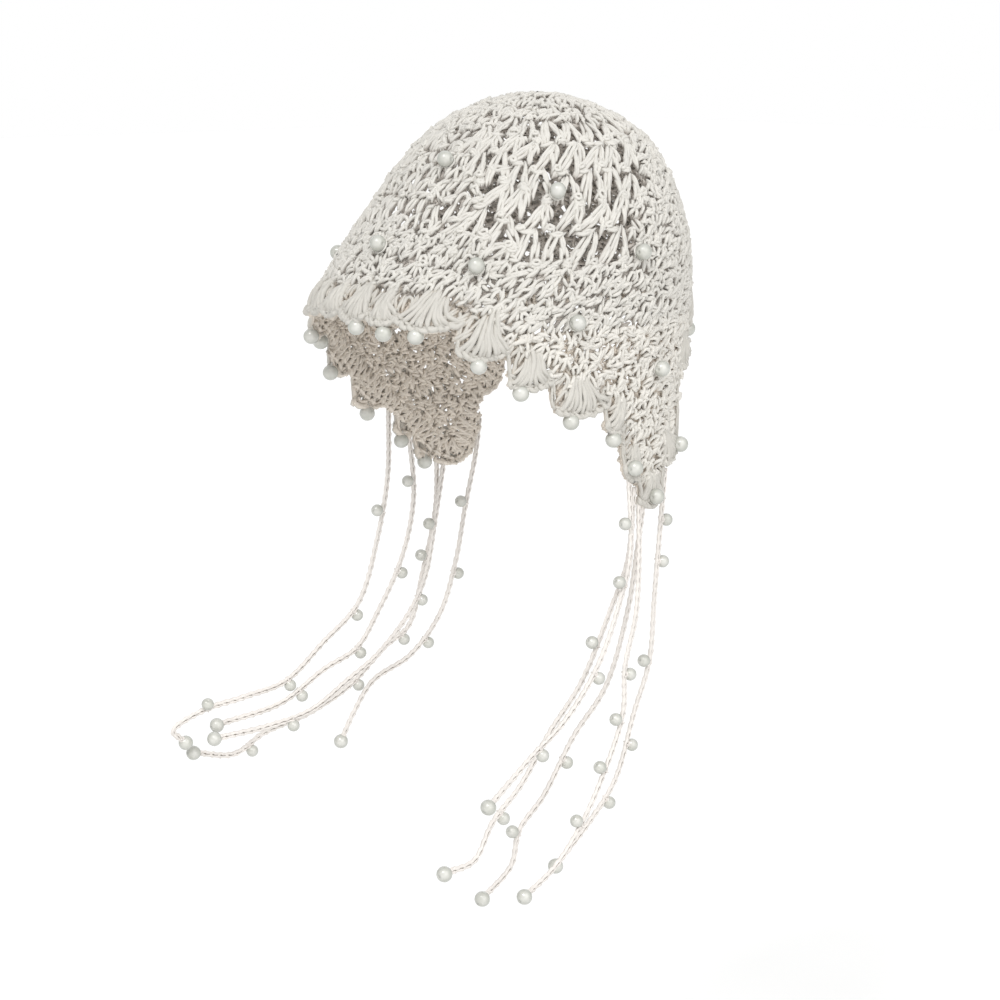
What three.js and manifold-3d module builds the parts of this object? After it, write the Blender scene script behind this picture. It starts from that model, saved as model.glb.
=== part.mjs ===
// A fitted openwork cap in crocheted ivory cotton, with ear flaps, a scalloped edging, pearls and ten ties.
// Millimetres. The wearer faces -Y, +X is the wearer's left and +Z is up.
// The origin is the inside of the crown's top, where a head would meet it.
// "turn" is the angle round the cap in degrees: 0 at the brow, 90 at the left ear, 180 at the nape.
// "way" is the share of the profile from the top (0) to the rim (1), and goes on below the rim past 1.
import * as THREE from 'three';
import { mergeVertices } from 'three/addons/utils/BufferGeometryUtils.js';
import Module from 'manifold-3d';

const wasm = await Module();
wasm.setup();

// Driving dimensions of the cap
const WALL = 3;
const CROWN_HEIGHT = 109;
const HALF_WIDTH = 81;
const HALF_DEPTH = 104;
const FRONT_LEAN = 22;
const FLAP_NARROWING = 4;
const BROW_DROP = 100;
const FLAP_REACH = 96;

// Driving dimensions of the edging
const EDGING_HEIGHT = 12;
const SCALLOP_DEPTH = 5;
const BROW_FLARE = 3;
const SIDE_FLARE = 1.5;
const SEAM_GAP = 0.3;

// Driving dimensions of the pearls and the ties
const HEM_PEARL_RADIUS = 4;
const CROWN_PEARL_RADIUS = 4;
const TIE_PEARL_RADIUS = 3.2;
const TIE_END_PEARL_RADIUS = 3.8;
const TIE_DIAMETER = 3;
const PEARL_GAP = 0.3;

// How finely the cap and its edging are divided
const COLUMNS = 36;
const CROWN_ROWS = 10;
const FLAP_ROWS = 3;
const EDGING_COLUMNS = 4 * COLUMNS;
const PEARL_SIDES = 10;
const PEARL_RINGS = 4;
const TIE_PEARL_RINGS = 3;
const TIE_SIDES = 8;
const TIE_STEPS = 8;

// How closely a way is searched for, how far apart a direction is measured, and what counts as one point
const SEARCH_STEPS = 40;
const DIRECTION_STEP = 0.01;
const SAME_POINT = 1e-3;

// The crown's profile, as shares of the crown height, half width, half depth and front lean
const PROFILE = [
  { way: 0.000, drop: 0.000, width: 0.000, depth: 0.000, lean: 0.00 },
  { way: 0.085, drop: 0.012, width: 0.160, depth: 0.130, lean: 0.00 },
  { way: 0.170, drop: 0.045, width: 0.320, depth: 0.265, lean: 0.00 },
  { way: 0.275, drop: 0.105, width: 0.495, depth: 0.410, lean: 0.00 },
  { way: 0.390, drop: 0.200, width: 0.675, depth: 0.545, lean: 0.02 },
  { way: 0.505, drop: 0.330, width: 0.800, depth: 0.665, lean: 0.11 },
  { way: 0.630, drop: 0.486, width: 0.895, depth: 0.770, lean: 0.26 },
  { way: 0.755, drop: 0.660, width: 0.960, depth: 0.880, lean: 0.49 },
  { way: 0.880, drop: 0.835, width: 0.990, depth: 0.965, lean: 0.78 },
  { way: 1.000, drop: 1.000, width: 1.000, depth: 1.000, lean: 1.00 },
];

// The hem's drop below the brow on each side, as shares of the flap's reach
const HEM = [
  { turn: 0, left: -0.01, right: -0.01 },
  { turn: 14, left: 0.02, right: 0.00 },
  { turn: 22, left: 0.03, right: 0.00 },
  { turn: 32, left: 0.035, right: 0.02 },
  { turn: 38, left: 0.06, right: 0.06 },
  { turn: 48, left: 0.15, right: 0.15 },
  { turn: 56, left: 0.235, right: 0.26 },
  { turn: 64, left: 0.33, right: 0.40 },
  { turn: 73, left: 0.43, right: 0.53 },
  { turn: 82, left: 0.50, right: 0.66 },
  { turn: 90, left: 0.56, right: 0.78 },
  { turn: 96, left: 0.74, right: 0.87 },
  { turn: 102, left: 0.94, right: 0.97 },
  { turn: 108, left: 1.00, right: 0.99 },
  { turn: 113, left: 0.99, right: 0.80 },
  { turn: 118, left: 0.88, right: 0.64 },
  { turn: 123, left: 0.64, right: 0.50 },
  { turn: 128, left: 0.42, right: 0.34 },
  { turn: 135, left: 0.22, right: 0.20 },
  { turn: 145, left: 0.12, right: 0.12 },
  { turn: 180, left: 0.09, right: 0.09 },
];

// Where each scallop of the edging ends, from the brow to the nape, the same on both sides
const SCALLOP_ENDS = [0, 12.5, 22.5, 42.5, 57.5, 70, 87.5, 95, 102.5, 115, 125, 137.5, 150, 165, 180];

// The pearls of the hem: under the edging's lower edge, or on its outside where the hem runs steeply
const HEM_PEARLS = [
  { turn: -175.5, outside: false },
  { turn: -169.5, outside: false },
  { turn: -160.5, outside: false },
  { turn: -154.5, outside: false },
  { turn: -143.75, outside: false },
  { turn: -131.25, outside: false },
  { turn: -120, outside: true },
  { turn: -108.75, outside: true },
  { turn: -98, outside: false },
  { turn: -89.5, outside: false },
  { turn: -76, outside: false },
  { turn: -57.75, outside: false },
  { turn: -51.75, outside: false },
  { turn: -42.75, outside: false },
  { turn: 7.5, outside: false },
  { turn: 18.5, outside: false },
  { turn: 29.25, outside: false },
  { turn: 48.25, outside: false },
  { turn: 60.25, outside: false },
  { turn: 75.5, outside: false },
  { turn: 90.5, outside: false },
  { turn: 97.25, outside: true },
  { turn: 108, outside: true },
  { turn: 123, outside: true },
  { turn: 144.5, outside: false },
  { turn: 154.5, outside: false },
  { turn: 160.5, outside: false },
  { turn: 172.5, outside: false },
];

// The open panels: rows of mesh holes and the turns between which they open on each side
const OPEN_ROWS = [
  { row: 2, from: 10, to: 100 },
  { row: 3, from: 10, to: 100 },
  { row: 4, from: 10, to: 100 },
  { row: 5, from: 30, to: 90 },
  { row: 6, from: 30, to: 90 },
  { row: 7, from: 30, to: 90 },
];

// A mesh hole's corners as shares of its cell, for the slanted and the upright kind
const SLANTED_HOLE = [
  { across: 0.56, down: 0.20 },
  { across: 0.84, down: 0.16 },
  { across: 0.46, down: 0.80 },
  { across: 0.18, down: 0.84 },
];
const UPRIGHT_HOLE = [
  { across: 0.44, down: 0.14 },
  { across: 0.62, down: 0.18 },
  { across: 0.66, down: 0.84 },
  { across: 0.32, down: 0.84 },
];

// Pearls sewn on the crown and flaps, their drops as shares of the crown height
const CROWN_PEARLS = [
  { turn: 10.5, drop: 0.295 },
  { turn: 60, drop: 0.415 },
  { turn: 2, drop: 0.65 },
  { turn: -52, drop: 0.74 },
  { turn: 41, drop: 0.72 },
  { turn: 94.5, drop: 0.68 },
  { turn: 75.5, drop: 0.96 },
  { turn: 108.5, drop: 1.205 },
  { turn: -150, drop: 0.86 },
  { turn: -78, drop: 0.48 },
  { turn: -104, drop: 0.84 },
  { turn: 172, drop: 0.57 },
];

// Each tie leaves the hem at a turn and then follows its route, chosen by hand, to its end pearl.
// A pearl sits at a share of the tie's length, on the side turned this far from the back, downwards.
const TIES = [
  {
    name: 'tie_left_1',
    turn: 97.5,
    route: [[79, -9, -218], [81, -18, -240], [84, -36, -269], [86, -58, -290], [89, -86, -305],
      [92, -112, -320]],
    pearls: [{ at: 0.12, side: 180 }, { at: 0.28, side: 190 }, { at: 0.53, side: 0 }, { at: 0.79, side: 20 }],
  },
  {
    name: 'tie_left_2',
    turn: 100,
    route: [[75, -7, -222], [74, -18, -246], [75, -38, -278], [76, -60, -299], [78, -80, -320],
      [80, -100, -334], [82, -113, -349], [83, -131, -351]],
    pearls: [{ at: 0.36, side: 170 }, { at: 0.80, side: 10 }],
  },
  {
    name: 'tie_left_3',
    turn: 105,
    route: [[72, 2, -222], [71, -2, -246], [70, -16, -284], [70, -38, -306], [70, -58, -332],
      [70, -74, -346], [71, -80, -362], [72, -98, -373]],
    pearls: [{ at: 0.63, side: 20 }, { at: 0.83, side: 180 }],
  },
  {
    name: 'tie_left_4',
    turn: 102.5,
    route: [[79, -3, -222], [82, -8, -248], [84, -17, -272], [86, -20, -294], [88, -34, -320],
      [90, -54, -346], [91, -70, -360], [92, -89, -369]],
    pearls: [{ at: 0.41, side: 10 }, { at: 0.52, side: 180 }, { at: 0.64, side: 180 }, { at: 0.78, side: 190 }],
  },
  {
    name: 'tie_left_5',
    turn: 117.5,
    route: [[70, 20, -216], [71, 16, -244], [72, 12, -276], [72, 2, -300], [73, -12, -332],
      [74, -32, -351], [75, -53, -366]],
    pearls: [{ at: 0.12, side: 0 }, { at: 0.22, side: 0 }, { at: 0.46, side: 180 }, { at: 0.66, side: 0 },
      { at: 0.80, side: 10 }],
  },
  {
    name: 'tie_right_1',
    turn: -85,
    route: [[-81, -30, -197], [-84, -35, -231], [-88, -45, -265], [-92, -66, -284], [-95, -88, -301],
      [-98, -113, -306], [-102, -137, -310], [-105, -153, -318], [-106, -146, -325]],
    pearls: [{ at: 0.23, side: 180 }, { at: 0.46, side: 20 }, { at: 0.67, side: 30 }, { at: 0.87, side: 180 }],
  },
  {
    name: 'tie_right_2',
    turn: -92.5,
    route: [[-79, -14, -211], [-82, -20, -243], [-86, -34, -272], [-88, -46, -289], [-91, -66, -298],
      [-94, -92, -312], [-99, -128, -318]],
    pearls: [{ at: 0.12, side: 180 }, { at: 0.36, side: 0 }, { at: 0.58, side: 40 }, { at: 0.77, side: 30 }],
  },
  {
    name: 'tie_right_3',
    turn: -105,
    route: [[-74, -3, -222], [-76, -8, -252], [-78, -17, -271], [-80, -38, -292], [-82, -58, -304],
      [-84, -80, -316], [-88, -106, -321], [-93, -134, -323]],
    pearls: [{ at: 0.16, side: 180 }, { at: 0.35, side: 10 }, { at: 0.80, side: 90 }],
  },
  {
    name: 'tie_right_4',
    turn: -102.5,
    route: [[-80, 2, -219], [-84, -4, -254], [-86, -12, -282], [-89, -26, -292], [-92, -48, -310],
      [-97, -72, -322], [-102, -98, -329], [-106, -114, -338], [-109, -136, -334]],
    pearls: [{ at: 0.24, side: 180 }, { at: 0.43, side: 40 }, { at: 0.58, side: 20 }, { at: 0.87, side: 90 }],
  },
  {
    name: 'tie_right_5',
    turn: -117.5,
    route: [[-71, 23, -190], [-74, 18, -219], [-76, 13, -248], [-79, 4, -277], [-82, -14, -297],
      [-85, -38, -308], [-87, -50, -324], [-89, -56, -337]],
    pearls: [{ at: 0.23, side: 180 }, { at: 0.43, side: 0 }, { at: 0.63, side: 10 }],
  },
];

const COTTON = { color: 0xe9e5da, roughness: 0.95, metalness: 0 };
const COTTON_EDGE = { color: 0xefebe1, roughness: 0.95, metalness: 0 };
const COTTON_TIE = { color: 0xece6dd, roughness: 0.95, metalness: 0 };
const PEARL = { color: 0xf2f1ea, roughness: 0.25, metalness: 0 };

const cap = new THREE.Group();

// A piece of the cap: a mesh with its own material
function addPiece(name, geometry, finish) {
  const mesh = new THREE.Mesh(geometry, new THREE.MeshStandardMaterial(finish));
  mesh.name = name;
  cap.add(mesh);
  return mesh;
}

// A smooth curve through one column of a table, read at a value of its first column
function along(rows, key, column, at) {
  const last = rows.length - 1;
  let i = 0;
  while (i < last - 1 && at > rows[i + 1][key]) {
    i += 1;
  }
  const slope = (k) => {
    const before = rows[Math.max(k - 1, 0)];
    const after = rows[Math.min(k + 1, last)];
    return (after[column] - before[column]) / (after[key] - before[key]);
  };
  const span = rows[i + 1][key] - rows[i][key];
  const t = THREE.MathUtils.clamp((at - rows[i][key]) / span, 0, 1);
  const rise = rows[i + 1][column] - rows[i][column];
  const a = slope(i) * span - rise;
  const b = rise - slope(i + 1) * span;
  return rows[i][column] + t * rise + t * (1 - t) * (a * (1 - t) + b * t);
}

// How far below the crown's top a way lies, and the way at such a drop
function dropAtWay(way) {
  return CROWN_HEIGHT * (way > 1 ? way : along(PROFILE, 'way', 'drop', way));
}

function wayAtDrop(drop) {
  if (drop >= CROWN_HEIGHT) {
    return drop / CROWN_HEIGHT;
  }
  let low = 0;
  let high = 1;
  for (let step = 0; step < SEARCH_STEPS; step += 1) {
    const middle = (low + high) / 2;
    if (dropAtWay(middle) < drop) {
      low = middle;
    } else {
      high = middle;
    }
  }
  return (low + high) / 2;
}

// A point on the cap's outer surface, before any flare
function onSurface(turn, way) {
  const angle = THREE.MathUtils.degToRad(turn);
  const onCrown = Math.min(way, 1);
  const narrowing = way > 1 ? FLAP_NARROWING * (way - 1) * CROWN_HEIGHT / FLAP_REACH : 0;
  const halfWidth = HALF_WIDTH * along(PROFILE, 'way', 'width', onCrown) - narrowing;
  const halfDepth = HALF_DEPTH * along(PROFILE, 'way', 'depth', onCrown) - narrowing;
  const lean = FRONT_LEAN * along(PROFILE, 'way', 'lean', onCrown);
  return new THREE.Vector3(
    halfWidth * Math.sin(angle),
    -halfDepth * Math.cos(angle) - lean,
    WALL - dropAtWay(way),
  );
}

// The surface's outward direction
function outward(turn, way) {
  const step = DIRECTION_STEP;
  const below = Math.max(way, step);
  const round = onSurface(turn + step, below).sub(onSurface(turn - step, below));
  const down = onSurface(turn, below + step).sub(onSurface(turn, below - step));
  return way === 0 ? new THREE.Vector3(0, 0, 1) : down.cross(round).normalize();
}

// The hem's drop below the crown's top, without its scallops
function hemDrop(turn) {
  const wrapped = THREE.MathUtils.euclideanModulo(turn + 180, 360) - 180;
  const side = wrapped < 0 ? 'right' : 'left';
  return BROW_DROP + FLAP_REACH * along(HEM, 'turn', side, Math.abs(wrapped));
}

// The drop of the edging's upper edge, straight between half columns so that its neighbours fit it
function edgingTopDrop(turn) {
  const pitch = 180 / COLUMNS;
  const before = Math.floor(turn / pitch) * pitch;
  const share = (turn - before) / pitch;
  return THREE.MathUtils.lerp(hemDrop(before), hemDrop(before + pitch), share) - EDGING_HEIGHT;
}

// Where a flap begins and ends, a seam's gap above the edging: both alike where there is no flap
function flapTopDrop(turn) {
  return Math.min(edgingTopDrop(turn), CROWN_HEIGHT) - SEAM_GAP;
}

function flapEndDrop(turn) {
  return edgingTopDrop(turn) - SEAM_GAP;
}

// Where the crown ends, a seam's gap above the flaps
function crownEndDrop(turn) {
  return flapTopDrop(turn) - SEAM_GAP;
}

// How far the edging stands out at its lower edge: most at the brow
function flareAt(turn) {
  const frontShare = Math.max(Math.cos(THREE.MathUtils.degToRad(turn)), 0);
  return SIDE_FLARE + (BROW_FLARE - SIDE_FLARE) * frontShare;
}

// A cloth wall built from faces on the outer surface, with its inner surface and edges added
class Wall {
  constructor() {
    this.outer = [];
    this.inner = [];
    this.faces = [];
  }

  corner(turn, way, flare = 0) {
    const direction = outward(turn, way);
    const point = onSurface(turn, way).addScaledVector(direction, flare);
    this.outer.push(point);
    this.inner.push(point.clone().addScaledVector(direction, -WALL));
    return this.outer.length - 1;
  }

  // A face's corners run anticlockwise as seen from outside, and corners that coincide count once
  face(...corners) {
    const distinct = [...new Set(corners)];
    for (let i = 1; i < distinct.length - 1; i += 1) {
      this.faces.push([distinct[0], distinct[i], distinct[i + 1]]);
    }
  }

  // A ring of faces between four corners and a four-cornered hole
  faceRound(corners, hole) {
    corners.forEach((corner, i) => {
      const next = (i + 1) % corners.length;
      this.face(corner, corners[next], hole[next], hole[i]);
    });
  }

  geometry() {
    const count = this.outer.length;
    const triangles = [];
    const edges = new Map();
    for (const [a, b, c] of this.faces) {
      triangles.push(a, b, c);
      triangles.push(count + a, count + c, count + b);
      for (const [from, to] of [[a, b], [b, c], [c, a]]) {
        edges.set(`${from},${to}`, [from, to]);
      }
    }
    for (const [from, to] of edges.values()) {
      if (!edges.has(`${to},${from}`)) {
        triangles.push(to, from, count + from);
        triangles.push(to, count + from, count + to);
      }
    }
    const points = [...this.outer, ...this.inner];
    const geometry = new THREE.BufferGeometry().setFromPoints(points);
    geometry.setIndex(triangles);
    return geometry;
  }
}

// The crown: rows of cells from the top to the edging, with mesh holes in the open panels
function crownGeometry() {
  const wall = new Wall();
  const top = wall.corner(0, 0);
  const grid = [];
  for (let row = 1; row <= CROWN_ROWS; row += 1) {
    const last = row === CROWN_ROWS;
    const corners = [];
    for (let half = 0; half < 2 * COLUMNS; half += last ? 1 : 2) {
      corners.push(wall.corner(180 * half / COLUMNS, wayOnCrown(180 * half / COLUMNS, row)));
    }
    grid.push(corners);
  }
  for (let column = 0; column < COLUMNS; column += 1) {
    const next = (column + 1) % COLUMNS;
    wall.face(top, grid[0][column], grid[0][next]);
    for (let row = 1; row < CROWN_ROWS - 1; row += 1) {
      const above = grid[row - 1];
      const below = grid[row];
      const corners = [above[column], below[column], below[next], above[next]];
      const hole = holeIn(wall, row, column);
      if (hole) {
        wall.faceRound(corners, hole);
      } else {
        wall.face(...corners);
      }
    }
    const above = grid[CROWN_ROWS - 2];
    const end = grid[CROWN_ROWS - 1];
    wall.face(above[next], above[column], end[2 * column], end[2 * column + 1], end[2 * next]);
  }
  return wall.geometry();
}

// The way at a row of the crown
function wayOnCrown(turn, row) {
  return wayAtDrop(crownEndDrop(turn)) * row / CROWN_ROWS;
}

// A cell's hole, in the order of the cell's own corners, or null where the cell is closed
function holeIn(wall, row, column) {
  const middle = 360 * (column + 0.5) / COLUMNS;
  const fromBrow = Math.min(middle, 360 - middle);
  const open = OPEN_ROWS.find((entry) => entry.row === row);
  if (!open || fromBrow < open.from || fromBrow > open.to) {
    return null;
  }
  const [topLeft, topRight, lowRight, lowLeft] = row % 2 ? UPRIGHT_HOLE : SLANTED_HOLE;
  return [topLeft, lowLeft, lowRight, topRight].map(({ across, down }) => {
    const turn = 360 * (column + across) / COLUMNS;
    return wall.corner(turn, wayOnCrown(turn, row + down));
  });
}

// An ear flap: the wall between the crown and the edging, on one side, from point to point
function flapGeometry(side) {
  const wall = new Wall();
  const grid = [];
  for (let half = 0; half < COLUMNS; half += 1) {
    const turn = side * 180 * half / COLUMNS;
    const high = wayAtDrop(flapTopDrop(turn));
    const low = wayAtDrop(flapEndDrop(turn));
    const corners = [wall.corner(turn, high)];
    for (let row = 1; row <= FLAP_ROWS; row += 1) {
      const height = (low - high) * row / FLAP_ROWS;
      corners.push(low > high ? wall.corner(turn, high + height) : corners[0]);
    }
    grid.push(corners);
  }
  for (let half = 1; half < COLUMNS; half += 1) {
    const [near, far] = side > 0 ? [grid[half - 1], grid[half]] : [grid[half], grid[half - 1]];
    for (let row = 0; row < FLAP_ROWS && near[1] !== far[1]; row += 1) {
      wall.face(near[row], near[row + 1], far[row + 1], far[row]);
    }
  }
  return wall.geometry();
}

// The scallops all round, each with its two ends as turns, in order from the nape round the right side
function scallops() {
  const left = SCALLOP_ENDS.slice(1).map((end, i) => ({ from: SCALLOP_ENDS[i], to: end }));
  const right = left.map(({ from, to }) => ({ from: -to, to: -from })).reverse();
  return [...right, ...left];
}

// The drop of a scallop's lower edge at a share of its width: level across, and deepest in the middle
function scallopDrop({ from, to }, share) {
  const middle = hemDrop((from + to) / 2);
  const bulge = SCALLOP_DEPTH * (Math.sin(Math.PI * share) - 0.5);
  return middle + bulge;
}

// The drop of the edging's lower edge: scalloped, and nowhere much above the hem
function edgingEndDrop(turn) {
  const scallop = scallops().find(({ from, to }) => turn >= from && turn < to);
  const share = (turn - scallop.from) / (scallop.to - scallop.from);
  return Math.max(scallopDrop(scallop, share), hemDrop(turn) - EDGING_HEIGHT / 2);
}

// The edging: one band all round, with a scallop over each stretch and a notch between them
function edgingGeometry() {
  const wall = new Wall();
  const columns = [];
  for (let column = 0; column < EDGING_COLUMNS; column += 1) {
    const turn = 360 * column / EDGING_COLUMNS - 180;
    const top = wall.corner(turn, wayAtDrop(edgingTopDrop(turn)));
    const low = wall.corner(turn, wayAtDrop(edgingEndDrop(turn)), flareAt(turn));
    columns.push([top, low]);
  }
  columns.forEach(([top, low], i) => {
    const [nextTop, nextLow] = columns[(i + 1) % columns.length];
    wall.face(top, low, nextLow, nextTop);
  });
  return wall.geometry();
}

// A pearl as a round bead
function pearlGeometry(radius, rings = PEARL_RINGS) {
  return new THREE.SphereGeometry(radius, PEARL_SIDES, rings);
}

// A pearl of the hem, under the edging's lower edge or on its outside
function hemPearl(name, { turn, outside }) {
  const standOff = HEM_PEARL_RADIUS + PEARL_GAP;
  const lift = outside ? standOff : 0;
  const drop = edgingEndDrop(turn) - lift;
  const flare = flareAt(turn) * (1 - lift / EDGING_HEIGHT);
  const direction = outward(turn, wayAtDrop(drop));
  const pearl = addPiece(name, pearlGeometry(HEM_PEARL_RADIUS), PEARL);
  pearl.position.copy(onSurface(turn, wayAtDrop(drop)));
  pearl.position.addScaledVector(direction, flare + (outside ? standOff : -WALL / 2));
  pearl.position.z -= standOff - lift;
}

// A pearl sewn on the outside of the crown or a flap
function crownPearl(name, { turn, drop }) {
  const way = wayAtDrop(drop * CROWN_HEIGHT);
  const pearl = addPiece(name, pearlGeometry(CROWN_PEARL_RADIUS), PEARL);
  const standOff = CROWN_PEARL_RADIUS + PEARL_GAP;
  pearl.position.copy(onSurface(turn, way)).addScaledVector(outward(turn, way), standOff);
}

// A geometry as a solid that can be joined to others
function solidOf(geometry) {
  const bare = geometry.clone();
  bare.deleteAttribute('normal');
  bare.deleteAttribute('uv');
  const merged = mergeVertices(bare, SAME_POINT);
  return new wasm.Manifold(new wasm.Mesh({
    numProp: 3,
    vertProperties: merged.attributes.position.array,
    triVerts: new Uint32Array(merged.index.array),
  }));
}

// A joined solid as a geometry again
function geometryOf(solid) {
  const mesh = solid.getMesh();
  const geometry = new THREE.BufferGeometry();
  geometry.setAttribute('position', new THREE.BufferAttribute(mesh.vertProperties, 3));
  geometry.setIndex(new THREE.BufferAttribute(mesh.triVerts, 1));
  return geometry;
}

// Where a tie leaves the edging's lower edge, clear of the lower edge beside it
function tieStart(turn) {
  const pitch = 360 / EDGING_COLUMNS;
  const here = edgingEndDrop(turn);
  const beside = Math.max(here, edgingEndDrop(turn - pitch), edgingEndDrop(turn + pitch));
  const way = wayAtDrop(here);
  const start = onSurface(turn, way).addScaledVector(outward(turn, way), flareAt(turn) - WALL / 2);
  start.z -= SEAM_GAP + (beside - here) / 2;
  return start;
}

// A tie: a round cord along its route, with its pearls and its end pearl joined to it
function tieGeometry({ turn, route, pearls }) {
  const points = [tieStart(turn), ...route.map((point) => new THREE.Vector3(...point))];
  const path = new THREE.CatmullRomCurve3(points);
  const section = new THREE.Shape();
  section.absarc(0, 0, TIE_DIAMETER / 2, 0, 2 * Math.PI);
  const tube = new THREE.ExtrudeGeometry(section, {
    extrudePath: path,
    steps: TIE_STEPS,
    curveSegments: TIE_SIDES / 2,
  });
  let solid = solidOf(tube);
  const sections = path.getSpacedPoints(TIE_STEPS);
  const addPearl = (center, radius) => {
    const bead = pearlGeometry(radius, TIE_PEARL_RINGS).translate(center.x, center.y, center.z);
    solid = solid.add(solidOf(bead));
  };
  for (const { at, side } of pearls) {
    const step = Math.floor(at * TIE_STEPS);
    const [from, to] = [sections[step], sections[step + 1]];
    const tangent = to.clone().sub(from).normalize();
    const angle = THREE.MathUtils.degToRad(side);
    const beside = new THREE.Vector3(0, Math.cos(angle), -Math.sin(angle));
    beside.addScaledVector(tangent, -beside.dot(tangent)).normalize();
    const center = from.clone().lerp(to, at * TIE_STEPS - step);
    addPearl(center.addScaledVector(beside, TIE_PEARL_RADIUS + TIE_DIAMETER / 4), TIE_PEARL_RADIUS);
  }
  const end = path.getPointAt(1).addScaledVector(path.getTangentAt(1), TIE_END_PEARL_RADIUS / 2);
  addPearl(end, TIE_END_PEARL_RADIUS);
  return geometryOf(solid);
}

addPiece('crown', crownGeometry(), COTTON);
addPiece('ear_flap_left', flapGeometry(1), COTTON);
addPiece('ear_flap_right', flapGeometry(-1), COTTON);
addPiece('edging', edgingGeometry(), COTTON_EDGE);
const numbered = (name, i) => `${name}_${String(i + 1).padStart(2, '0')}`;
HEM_PEARLS.forEach((place, i) => hemPearl(numbered('hem_pearl', i), place));
CROWN_PEARLS.forEach((place, i) => crownPearl(numbered('crown_pearl', i), place));
TIES.forEach((tie) => addPiece(tie.name, tieGeometry(tie), COTTON_TIE));

export default cap;
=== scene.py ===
"""A fitted openwork cap crocheted in ivory cotton, with ear flaps, pearls and ten pearl-set ties.

Metres, in the frame of the solids. The wearer faces -Y, +X is the wearer's left and +Z is up.
"turn" is the angle round the cap in degrees: 0 at the brow, 90 at the left ear, 180 at the nape.
"way" is the share of the profile from the top (0) to the rim (1), and goes on below the rim past 1.
"lift" is the height of a strand's centre line over the middle of the cloth wall.
"""

import math

import bpy
import numpy as np
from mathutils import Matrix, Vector


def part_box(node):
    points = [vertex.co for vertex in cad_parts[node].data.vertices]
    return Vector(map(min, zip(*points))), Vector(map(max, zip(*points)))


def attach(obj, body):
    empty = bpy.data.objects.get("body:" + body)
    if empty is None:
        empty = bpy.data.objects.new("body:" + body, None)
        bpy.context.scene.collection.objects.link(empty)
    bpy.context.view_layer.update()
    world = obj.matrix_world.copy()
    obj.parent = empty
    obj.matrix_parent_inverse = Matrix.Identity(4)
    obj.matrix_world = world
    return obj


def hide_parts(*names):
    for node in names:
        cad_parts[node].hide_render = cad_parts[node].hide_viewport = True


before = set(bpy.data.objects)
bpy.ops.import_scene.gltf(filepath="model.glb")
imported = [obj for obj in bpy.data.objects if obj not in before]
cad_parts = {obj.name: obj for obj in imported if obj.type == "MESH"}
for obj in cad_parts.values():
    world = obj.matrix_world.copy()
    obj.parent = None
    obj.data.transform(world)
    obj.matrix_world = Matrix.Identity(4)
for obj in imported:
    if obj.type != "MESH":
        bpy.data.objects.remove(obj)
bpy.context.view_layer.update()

# Millimetres in a metre
MILLIMETRES = 1000

# Driving dimensions of the cap, as in the solids
WALL = 0.003
CROWN_HEIGHT = 0.109
HALF_WIDTH = 0.081
HALF_DEPTH = 0.104
FRONT_LEAN = 0.022
FLAP_NARROWING = 0.004
BROW_DROP = 0.100
FLAP_REACH = 0.096
EDGING_HEIGHT = 0.012
SCALLOP_DEPTH = 0.005
BROW_FLARE = 0.003
SIDE_FLARE = 0.0015
SEAM_GAP = 0.0003
TIE_DIAMETER = 0.003
TIE_PEARL_RADIUS = 0.0032
TIE_END_PEARL_RADIUS = 0.0038
COLUMNS = 36
CROWN_ROWS = 10

# The yarn and its stitches
YARN = 0.0018
YARN_SIDES = 5
YARN_STEP = 0.0021
YARN_END_SHARE = 0.6
YARN_SWELL = 0.32
SHORT_ROWS = 3
SHORT_PITCH = 0.0046
POST_PITCH = 0.0056
POST_SHARE = 0.58
POST_SWAYS = (0.50, -0.20)
POST_KNOTS = 0.3
KNOT_WIDTH = 0.0048
STITCH_TURNING = 0.12
SIZE_SCATTER = 0.09
STRAND_SCATTER = 0.0003
DENSE_TURNING = 0.42
DENSE_SLANT = (0.2, 0.35)
DENSE_LOOPS = 0.25
BRIDGED = 0.2

SCALLOP_ENDS = (0, 12.5, 22.5, 42.5, 57.5, 70, 87.5, 95, 102.5, 115, 125, 137.5, 150, 165, 180)

# The crown's profile, as shares of the crown height, half width, half depth and front lean
PROFILE = dict(zip(("way", "drop", "width", "depth", "lean"), np.array([
    (0, 0, 0, 0, 0), (0.085, 0.012, 0.16, 0.13, 0), (0.17, 0.045, 0.32, 0.265, 0),
    (0.275, 0.105, 0.495, 0.41, 0), (0.39, 0.2, 0.675, 0.545, 0.02),
    (0.505, 0.33, 0.8, 0.665, 0.11), (0.63, 0.486, 0.895, 0.77, 0.26),
    (0.755, 0.66, 0.96, 0.88, 0.49), (0.88, 0.835, 0.99, 0.965, 0.78), (1, 1, 1, 1, 1),
]).T))

# The hem's drop below the brow on each side, as shares of the flap's reach
HEM = dict(zip(("turn", "left", "right"), np.array([
    (0, -0.01, -0.01), (14, 0.02, 0), (22, 0.03, 0), (32, 0.035, 0.02), (38, 0.06, 0.06),
    (48, 0.15, 0.15), (56, 0.235, 0.26), (64, 0.33, 0.4), (73, 0.43, 0.53), (82, 0.5, 0.66),
    (90, 0.56, 0.78), (96, 0.74, 0.87),
    (102, 0.94, 0.97), (108, 1, 0.99), (113, 0.99, 0.8), (118, 0.88, 0.64), (123, 0.64, 0.5),
    (128, 0.42, 0.34), (135, 0.22, 0.2), (145, 0.12, 0.12), (180, 0.09, 0.09),
]).T))

# The crown's rows: how many cells go round, and the turns between which a row is open mesh, if any
ROWS = [(12, 0, 0), (14, 0, 0), (20, 0, 0), (28, 20, 100), (36, 10, 100), (36, 20, 98), (36, 26, 92),
        (36, 30, 90), (36, 0, 0), (36, 0, 0)]

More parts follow.
